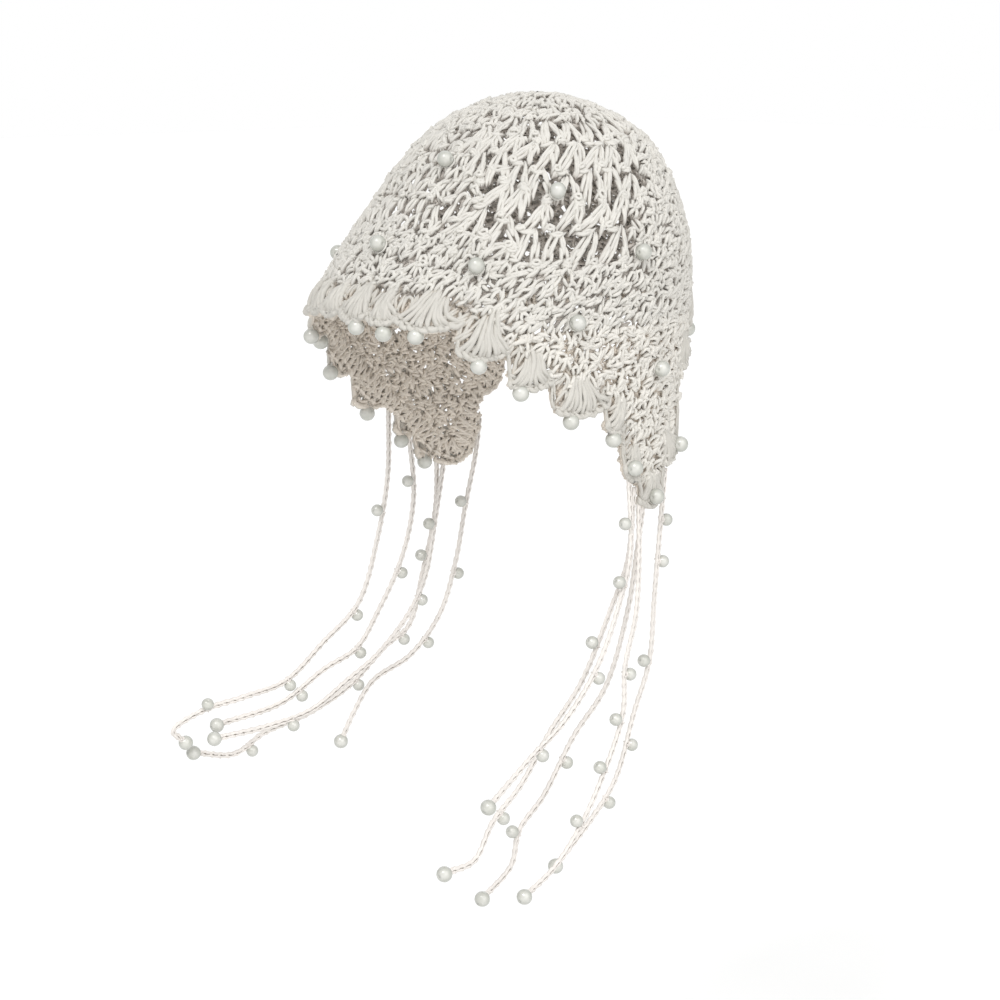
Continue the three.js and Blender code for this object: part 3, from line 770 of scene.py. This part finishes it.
def shell_stitches(start, end, random):
    """A shell of long double stitches that open from one point over its scallop, with its rim."""
    middle = (start + end) / 2
    way = way_at_drop(hem_drop(middle))
    scale = per_degree(middle, way)
    down = per_way(middle, way)
    rise = hem_drop(end) - hem_drop(start)
    half = (end - start) * scale / 2
    slope = math.atan2(rise, 2 * half)
    tilt = math.copysign(max(abs(slope) - math.radians(35), 0), slope) * 0.8
    half = half / max(math.cos(tilt), 0.35)

    def tip_of(ray):
        return np.array([half * 0.97 * ray, SCALLOP_DEPTH * (0.40 - 0.75 * ray ** 2) + SHELL_TIP])

    rays = np.linspace(-1, 1, SHELL_RAYS) + random.normal(0, 0.05, SHELL_RAYS)
    flat_strands = []
    for ray in rays:
        tip = tip_of(ray)
        base = np.array([half * 0.26 * ray, -SHELL_REACH * random.uniform(0.80, 1.04)])
        line = tip - base
        side = np.array([line[1], -line[0]]) / np.linalg.norm(line)
        bow = side * -SHELL_BOW * ray
        crest = SHELL_CREST * (1 - 0.6 * abs(ray))
        flat_strands.append([(*(base + line * share + bow * math.sin(math.pi * share)),
                              YARN * lift + crest * math.sin(math.pi * share))
                             for share, lift in SHELL_RIB])
    for first, last in zip(rays[:-1], rays[1:]):
        a, b = tip_of(first), tip_of(last)
        for loop in TIP_LOOPS:
            flat_strands.append([(*(a + (b - a) * across + (0, TIP_LOOP * past)), lift)
                                 for across, past, lift in loop])
    made = []
    for strand in flat_strands:
        x, y, lift = (np.array(strand) + random.normal(0, 0.00035, (len(strand), 3))).T
        x, y = turned(x, y, tilt)
        made.append(np.stack([middle + x / scale, way + y / down, lift], axis=-1)[None])
    return made


# The rim's two strands: how far over the lower edge each runs, its lift and its phase
RIM_STRANDS = [(0.0006, 0.0004, 0.0), (0.0012, -0.0008, 3.1)]
RIM_SWING = 0.0005
RIM_POINTS = 9


def rim_stitches():
    """Two strands that wind about each other along the whole lower edge, in pieces a few degrees long."""
    made = []
    for turn in np.arange(-180, 180, 5.0):
        at = turn + np.linspace(-0.6, 5.6, RIM_POINTS)
        at = np.clip(at, -180, 179.99)
        drop = np.array([edging_end_drop(t) for t in at])
        for above, lift, phase in RIM_STRANDS:
            wave = RIM_SWING * np.sin(np.radians(at) * 110 + phase)
            made.append(np.stack([at, way_at_drop(drop - above + wave), lift + wave], axis=-1)[None])
    return made


# The edging's ground: how far apart its stitches stand, their height, how deep they lie and how many
# rows follow each other down where a scallop hangs far below the hem
GROUND_PITCH = 0.0048
GROUND_HEIGHT = 0.0085
GROUND_SINK = 0.45
GROUND_ROWS = 3


def ground_stitches(random):
    """The ground of the edging: stitches that stand on the hem all the way round."""
    turn = np.linspace(-180, 180, 1441)[:-1]
    drop = hem_drop(turn) - EDGING_HEIGHT / 2
    length = lengths(on_surface(turn, way_at_drop(drop)))
    count = int(length[-1] / GROUND_PITCH)
    at = np.interp(np.linspace(0, length[-1], count, endpoint=False), length, turn)
    first = hem_drop(at) - EDGING_HEIGHT * 0.62
    end = np.array([min(edging_end_drop(wrapped_turn(t + beside)) for beside in (-1, 0, 1))
                    for t in at])
    drops, turns = [first], [at]
    for row in range(1, GROUND_ROWS):
        lower = first + row * 0.7 * GROUND_HEIGHT
        fits = lower + 0.52 * GROUND_HEIGHT < end
        drops.append(lower[fits])
        turns.append(at[fits])
    way, at = way_at_drop(np.concatenate(drops)), np.concatenate(turns)
    scale, down_scale = per_degree(at, way)[:, None], per_way(at, way)[:, None]
    angle = np.arctan((hem_drop(at + 1) - hem_drop(at - 1)) / (2 * scale[:, 0]))[:, None]
    kind = random.integers(len(SHORT_STITCHES), size=len(at))
    made = []
    for i, template in enumerate(SHORT_STITCHES):
        own = kind == i
        for strand in template + CLOSE_BARS:
            across, below, lift = np.array(strand).T
            noise = random.normal(0, STRAND_SCATTER, (2, own.sum(), len(strand)))
            x, y = turned(GROUND_PITCH * across + noise[0], GROUND_HEIGHT * (below - 0.5) + noise[1],
                          angle[own])
            made.append(np.stack([at[own, None] + x / scale[own], way[own, None] + y / down_scale[own],
                                  YARN * (lift - GROUND_SINK) + 0 * x], axis=-1))
    return made


# Pearls

# How far out a pearl stands that is sewn on the cloth, how far it sinks in, and how far over a hem
# pearl its loop begins
PEARL_OUTSIDE = 0.0025
PEARL_SINK = 0.0012
PEARL_LOOP = 0.0006

# The thickness of the yarn that holds the pearls, and the steps of a ring of it
THREAD = 0.0011
RING_STEPS = 12

# A pearl's mesh, how far its hole's rim lies in, and how wide the hole is
PEARL_SEGMENTS = 24
PEARL_RINGS = 14
PEARL_DIMPLE = 0.86
PEARL_HOLE = 0.12


def axes_round(axis):
    """An axis and two directions across it."""
    axis = unit(np.asarray(axis, float))
    across = unit(np.cross(axis, (0.31, 0.52, 0.79)))
    return axis, across, np.cross(axis, across)


def pearl_part(centre, radius, axis, random):
    """A pearl that is not quite round, with its thread hole's two dimples along an axis."""
    axis, across, third = axes_round(axis)
    flat = 1 - 0.03 * random.random()
    polar = np.pi * np.linspace(0, 1, PEARL_RINGS + 1)
    heights = np.cos(polar) * flat
    heights[[0, -1]] *= PEARL_DIMPLE
    reach = np.maximum(np.sin(polar), PEARL_HOLE)
    angle = 2 * np.pi * np.arange(PEARL_SEGMENTS)[:, None] / PEARL_SEGMENTS
    ring = across * np.cos(angle) + third * np.sin(angle)
    vertices = centre + radius * (axis * heights[:, None, None] + ring * reach[:, None, None])
    grid = np.arange((PEARL_RINGS + 1) * PEARL_SEGMENTS).reshape(-1, PEARL_SEGMENTS)
    beside = np.roll(grid, -1, axis=1)
    quads = np.stack([grid[:-1], grid[1:], beside[1:], beside[:-1]], -1).reshape(-1, 4)
    caps = np.stack([grid[0], grid[-1, ::-1]])
    return vertices.reshape(-1, 3), None, [quads, caps], [np.zeros((f.size, 2)) for f in (quads, caps)]


def pearl_piece(name, pearls, nodes, material, random):
    """One piece from pearls, each a centre, a radius and the axis of its thread hole."""
    return joined_piece(name, [pearl_part(*entry, random) for entry in pearls], material, nodes)


def loop_round(centre, radius, axis, start, turn_by):
    """A stretch of a ring of yarn round an axis, from a start angle and turning by an angle."""
    _, across, third = axes_round(axis)
    angle = np.radians(start + turn_by * np.linspace(0, 1, RING_STEPS))[:, None]
    return centre + radius * (across * np.cos(angle) + third * np.sin(angle))


def seat_strands(centre, radius, away, random):
    """The loops of yarn that hold a pearl on the cloth, round its foot."""
    bundles = []
    for share in (0.82, 0.62):
        foot = centre - away * radius * share
        ring = math.sqrt(1 - share ** 2) * radius + THREAD * 0.4
        path = loop_round(foot, ring, away + random.normal(0, 0.1, 3), random.uniform(0, 360), 300)
        bundles.append((path[None], THREAD))
    return bundles


def hanger_strands(centre, radius, top):
    """The loop of yarn from the edge to the pearl's thread hole, and a turn round the pearl's top."""
    towards = unit(top - centre)
    across = unit(np.cross(towards, (0.2, 1.0, 0.1)))
    bundles = []
    for sign in (-1, 1):
        points = [start + across * sign * aside + towards * over
                  for start, aside, over in ((top, 0.0016, 0.0010), (top, 0.0011, -0.0004),
                                             (centre, 0.0006, radius + 0.0003), (centre, 0, radius * 0.75))]
        bundles.append((smooth(np.array([points]), 9), THREAD))
    collar = loop_round(centre + towards * radius * 0.93, radius * 0.34, towards, 0, 340)
    bundles.append((collar[None], THREAD))
    return bundles


# The ties

def tie_start(turn):
    """Where a tie leaves the edging's lower edge."""
    pitch = 90 / COLUMNS
    here = edging_end_drop(turn)
    beside = max(here, edging_end_drop(turn - pitch), edging_end_drop(turn + pitch))
    way = way_at_drop(here)
    start = on_surface(turn, way) + outward(turn, way) * (flare_at(turn) - WALL / 2)
    start[2] -= SEAM_GAP + (beside - here) / 2
    return start


def centripetal(points, samples):
    """The same smooth curve as the solids' routes follow, through points at even parameters."""
    points = np.asarray(points, float)
    first = 2 * points[0] - points[1]
    last = 2 * points[-1] - points[-2]
    padded = np.vstack([first, points, last])
    curve = []
    for i in range(len(points) - 1):
        p = padded[i:i + 4]
        gaps = np.maximum(np.linalg.norm(np.diff(p, axis=0), axis=-1) ** 0.5, 1e-6)
        t1 = (p[1] - p[0]) / gaps[0] - (p[2] - p[0]) / (gaps[0] + gaps[1]) + (p[2] - p[1]) / gaps[1]
        t2 = (p[2] - p[1]) / gaps[1] - (p[3] - p[1]) / (gaps[1] + gaps[2]) + (p[3] - p[2]) / gaps[2]
        t1, t2 = t1 * gaps[1], t2 * gaps[1]
        t = np.linspace(0, 1, samples, endpoint=i == len(points) - 2)[:, None]
        a = 2 * p[1] - 2 * p[2] + t1 + t2
        b = -3 * p[1] + 3 * p[2] - 2 * t1 - t2
        curve.append(a * t ** 3 + b * t ** 2 + t1 * t + p[1])
    return np.vstack(curve)


def evenly(path, count):
    length = lengths(path)
    at = np.linspace(0, length[-1], count)
    return np.stack([np.interp(at, length, path[:, k]) for k in range(3)], axis=-1), length[-1]


CHAIN_LINK = 0.0048
STEPS_PER_LINK = 6
TIE_YARN = 0.0019
# How low the strand down the middle of a tie lies, so that it takes the ties' dark deep colour: painted
# shade seen between the chain's loops
TIE_SHADE_STRAND_HEIGHT = -0.0012
ROUTE_SAMPLES = 40


def make_tie(name, turn, route, places, cotton, lustre, random):
    """A chain-stitched cord with its pearls."""
    route = centripetal([tie_start(turn), *(np.array(route) / MILLIMETRES)], ROUTE_SAMPLES)
    links = int(round(lengths(route)[-1] / CHAIN_LINK))
    line, length = evenly(route, links * STEPS_PER_LINK + 1)
    tangent = unit(np.gradient(line, axis=0))
    side = unit(np.cross(tangent, (1.0, 0.2, 0.0)))
    front = np.cross(side, tangent)
    phase = np.arange(len(line)) / STEPS_PER_LINK
    bundles = []
    for sign in (-1, 1):
        swing = 0.17 + 0.16 * (0.5 + 0.5 * np.cos(2 * np.pi * phase)) ** 5
        height = 0.05 * np.cos(2 * np.pi * phase + sign * 1.3)
        offset = side * (sign * swing * TIE_DIAMETER)[:, None] + front * (height * TIE_DIAMETER)[:, None]
        bundles.append(((line + offset)[None], TIE_YARN))
    # The strand down the middle, in painted shade: dark where it shows between the two swinging strands
    bundles.append((line[None], TIE_YARN * 0.8, front[None], np.full((1, len(line)), TIE_SHADE_STRAND_HEIGHT)))

    pearls = []
    for at, side_angle in places:
        i = int(round(at * (len(line) - 1)))
        angle = math.radians(side_angle)
        beside = np.array((0, math.cos(angle), -math.sin(angle)))
        beside = unit(beside - tangent[i] * beside.dot(tangent[i]))
        centre = line[i] + beside * (TIE_PEARL_RADIUS + TIE_DIAMETER / 4)
        pearls.append((centre, TIE_PEARL_RADIUS, beside))
        bundles += hanger_strands(centre, TIE_PEARL_RADIUS, line[i])
    end = tangent[-1] * TIE_END_PEARL_RADIUS
    centre = line[-1] + end / 2
    bundles += hanger_strands(centre, TIE_END_PEARL_RADIUS, line[-1] - end * 0.7)
    pearls.append((centre, TIE_END_PEARL_RADIUS, tangent[-1]))
    cord = yarn_piece(name + "_cord", bundles, cotton, [name])
    beads = pearl_piece(name + "_pearls", pearls, (), lustre, random)


# Materials

def new_material(name):
    material = bpy.data.materials.new(name)
    material.use_nodes = True
    tree = material.node_tree
    return material, tree, tree.nodes["Principled BSDF"]


def set_inputs(node, values):
    for name, value in values.items():
        node.inputs[name].default_value = value


def add(tree, kind, values=None, **settings):
    """A node with its settings and the values of its inputs."""
    node = tree.nodes.new("ShaderNode" + kind)
    for name, value in settings.items():
        setattr(node, name, value)
    set_inputs(node, values or {})
    return node


def link(tree, *wires):
    """Links, each from a node's output to a node's input."""
    for source, output, target, place in wires:
        tree.links.new(source.outputs[output], target.inputs[place])


def ramp(tree, *stops):
    node = add(tree, "ValToRGB")
    for element, (at, colour) in zip(node.color_ramp.elements, stops):
        element.position = at
        element.color = (*colour, 1)
    return node


def cotton_material(name, painted_deep_light, outer, plies_per_metre=900.0):
    """Soft two-ply cotton: plies wound round the strand, fine fibres, and painted light and shade deep in
    the cloth, a second colour where the strand lies low.
    """
    material, tree, shader = new_material(name)
    coordinates = add(tree, "TexCoord")
    height = add(tree, "Attribute", attribute_name="height")
    # Painted light and shade: the base colour turns from the deep colour to the outer one as the strand's
    # surface rises through the cloth
    outside = add(tree, "MapRange", {"From Min": -0.0009, "From Max": 0.0013},
                  interpolation_type="SMOOTHSTEP")
    patches = add(tree, "TexNoise", {"Scale": 85, "Detail": 4})
    painted_deep_light_ramp = ramp(tree, (0.3, [c * 0.9 for c in painted_deep_light]), (0.68, painted_deep_light))
    outer_colour = ramp(tree, (0.3, [c * 0.93 for c in outer]), (0.68, outer))
    colour = add(tree, "Mix", data_type="RGBA")
    link(tree, (height, "Fac", outside, "Value"), (coordinates, "Object", patches, "Vector"),
         (patches, "Fac", painted_deep_light_ramp, "Fac"), (patches, "Fac", outer_colour, "Fac"),
         (outside, "Result", colour, "Factor"), (painted_deep_light_ramp, "Color", colour, "A"),
         (outer_colour, "Color", colour, "B"), (colour, "Result", shader, "Base Color"))

    split = add(tree, "SeparateXYZ")
    round_share = add(tree, "Math", {1: 4 * math.pi}, operation="MULTIPLY")
    along_share = add(tree, "Math", {1: plies_per_metre}, operation="MULTIPLY_ADD")
    plies = add(tree, "Math", operation="SINE")
    fibres = add(tree, "TexNoise", {"Scale": 2600, "Detail": 3})
    ply_bump = add(tree, "Bump", {"Strength": 0.5, "Distance": 0.0002})
    fibre_bump = add(tree, "Bump", {"Strength": 0.5, "Distance": 0.0002})
    link(tree, (coordinates, "UV", split, "Vector"), (split, "X", round_share, 0),
         (split, "Y", along_share, 0), (round_share, "Value", along_share, 2),
         (along_share, "Value", plies, 0), (plies, "Value", ply_bump, "Height"),
         (coordinates, "Object", fibres, "Vector"), (fibres, "Fac", fibre_bump, "Height"),
         (ply_bump, "Normal", fibre_bump, "Normal"), (fibre_bump, "Normal", shader, "Normal"))
    set_inputs(shader, {"Roughness": 0.9, "Specular IOR Level": 0.25, "Sheen Weight": 0.1,
                        "Sheen Roughness": 0.5})
    return material


def pearl_material():
    """Lustrous bead: a milky body under a clear coat, with a faint drift of colour, and a painted
    reflection that darkens the colour towards the rim.
    """
    material, tree, shader = new_material("pearl_lustre")
    coordinates = add(tree, "TexCoord")
    drift = add(tree, "TexNoise", {"Scale": 160, "Detail": 2})
    body = ramp(tree, (0.35, (0.55, 0.55, 0.50)), (0.65, (0.65, 0.645, 0.605)))
    # Painted reflection: the base colour darkens and greys towards the rim, as darker surroundings would
    # show there
    rim = add(tree, "LayerWeight", {"Blend": 0.35})
    painted_rim_reflection = add(tree, "Mix", data_type="RGBA")
    painted_rim_reflection.inputs["B"].default_value = (0.24, 0.26, 0.22, 1)
    bump = add(tree, "Bump", {"Strength": 0.08, "Distance": 0.0002})
    link(tree, (coordinates, "Object", drift, "Vector"), (drift, "Fac", body, "Fac"),
         (rim, "Facing", painted_rim_reflection, "Factor"), (body, "Color", painted_rim_reflection, "A"),
         (painted_rim_reflection, "Result", shader, "Base Color"), (drift, "Fac", bump, "Height"),
         (bump, "Normal", shader, "Normal"))
    set_inputs(shader, {"Roughness": 0.2, "Coat Weight": 0.8, "Coat Roughness": 0.06})
    return material


def floor_material():
    material, tree, shader = new_material("pale_floor")
    coordinates = add(tree, "TexCoord")
    grain = add(tree, "TexNoise", {"Scale": 3})
    colour = ramp(tree, (0.0, (0.92, 0.92, 0.915)), (1.0, (0.95, 0.95, 0.945)))
    link(tree, (coordinates, "Object", grain, "Vector"), (grain, "Fac", colour, "Fac"),
         (colour, "Color", shader, "Base Color"))
    set_inputs(shader, {"Roughness": 0.9})
    return material


# Floor and light

def make_floor():
    corners = np.array([(x * FLOOR_HALF, y * FLOOR_HALF, -FLOOR_DROP)
                        for x, y in ((-1, -1), (1, -1), (1, 1), (-1, 1))])
    floor = mesh_object("floor", corners, [np.array([[0, 1, 2, 3]])], [np.zeros((4, 2))], floor_material())


def sun_light(name, azimuth, elevation, softness, strength):
    data = bpy.data.lights.new(name, "SUN")
    data.angle = math.radians(softness)
    data.energy = strength
    new_object(name, data, direction(azimuth, elevation))


def make_light():
    """Lamps in a room of even pale light."""
    world = bpy.data.worlds.new("studio")
    world.use_nodes = True
    tree = world.node_tree
    seen = tree.nodes["Background"]
    set_inputs(seen, {"Color": (1, 1, 1, 1), "Strength": ROOM_SEEN})
    lit = add(tree, "Background", {"Color": (1, 1, 1, 1), "Strength": ROOM_LIGHT})
    ray = add(tree, "LightPath")
    either = add(tree, "MixShader")
    link(tree, (ray, "Is Camera Ray", either, 0), (lit, "Background", either, 1),
         (seen, "Background", either, 2), (either, "Shader", tree.nodes["World Output"], "Surface"))
    bpy.context.scene.world = world
    for lamp in LAMPS:
        sun_light(*lamp)
    bpy.context.scene.view_settings.view_transform = "Standard"


# The whole cap

make_camera()
# The ties' deep colour is near black: painted shade for the strand down the middle of each cord
tie_cotton = cotton_material("cotton_tie_cord", (0.20, 0.17, 0.14), (0.82, 0.78, 0.74), 1400.0)
pearl = pearl_material()
for number, tie in enumerate(TIES):
    make_tie(*tie, tie_cotton, pearl, np.random.default_rng(100 + number))

# The first colour of each is painted light and shade deep in the cloth: darker shade in the crown, warm
# light inside the flaps and edging
cotton = cotton_material("cotton_crochet", (0.57, 0.53, 0.485), (0.70, 0.68, 0.635))
flap_cotton = cotton_material("cotton_flap_crochet", (0.77, 0.70, 0.615), (0.745, 0.72, 0.67))
edging_cotton = cotton_material("cotton_edging_crochet", (0.74, 0.675, 0.595), (0.60, 0.58, 0.535))

crown = crown_stitches(np.random.default_rng(1))
CROWN_PIECES = {
    "crown_front": lambda turn, way: np.abs(turn) <= 45,
    "crown_left": lambda turn, way: (turn > 45) & (turn <= 112),
    "crown_right": lambda turn, way: (turn < -45) & (turn >= -112),
    "crown_back": lambda turn, way: np.abs(turn) > 112,
}
for name, keep in CROWN_PIECES.items():
    nodes = ["crown"] if name == "crown_front" else []
    yarn_piece(name, strands(chosen(crown, keep)), cotton, nodes)
for side, name in ((1, "ear_flap_left"), (-1, "ear_flap_right")):
    rng = np.random.default_rng(20 + side)
    yarn_piece(name + "_stitches", strands(flap_stitches(side, rng)), flap_cotton, [name])

rng = np.random.default_rng(30)
yarn_piece("edging_ground", strands(ground_stitches(rng)), edging_cotton, ["edging"])
shells = []
for start, end in scallops():
    shells += shell_stitches(start, end, rng)
yarn_piece("edging_shells", strands(shells, SHELL_YARN), edging_cotton)
yarn_piece("edging_rim", strands(rim_stitches()), edging_cotton)

seats, hangers = [], []
for node in sorted(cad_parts):
    if not node.startswith(("hem_pearl", "crown_pearl")):
        continue
    low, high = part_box(node)
    centre, radius = (np.array(low) + np.array(high)) / 2, (high[0] - low[0]) / 2
    rng = np.random.default_rng(int(node[-2:]))
    surface, away = foot_of(centre)
    if (centre - surface).dot(away) > PEARL_OUTSIDE:
        centre = centre - away * PEARL_SINK
        seats += seat_strands(centre, radius, away, rng)
        axis = np.cross(away, (0, 0, 1))
    else:
        top = centre + np.array((0, 0, radius + PEARL_LOOP))
        hangers += hanger_strands(centre, radius, top)
        axis = (0, 0, 1)
    pearl_piece(node + "_bead", [(centre, radius, axis)], [node], pearl, rng)
yarn_piece("crown_pearl_seats", seats, cotton)
yarn_piece("hem_pearl_hangers", hangers, edging_cotton)

make_floor()
make_light()
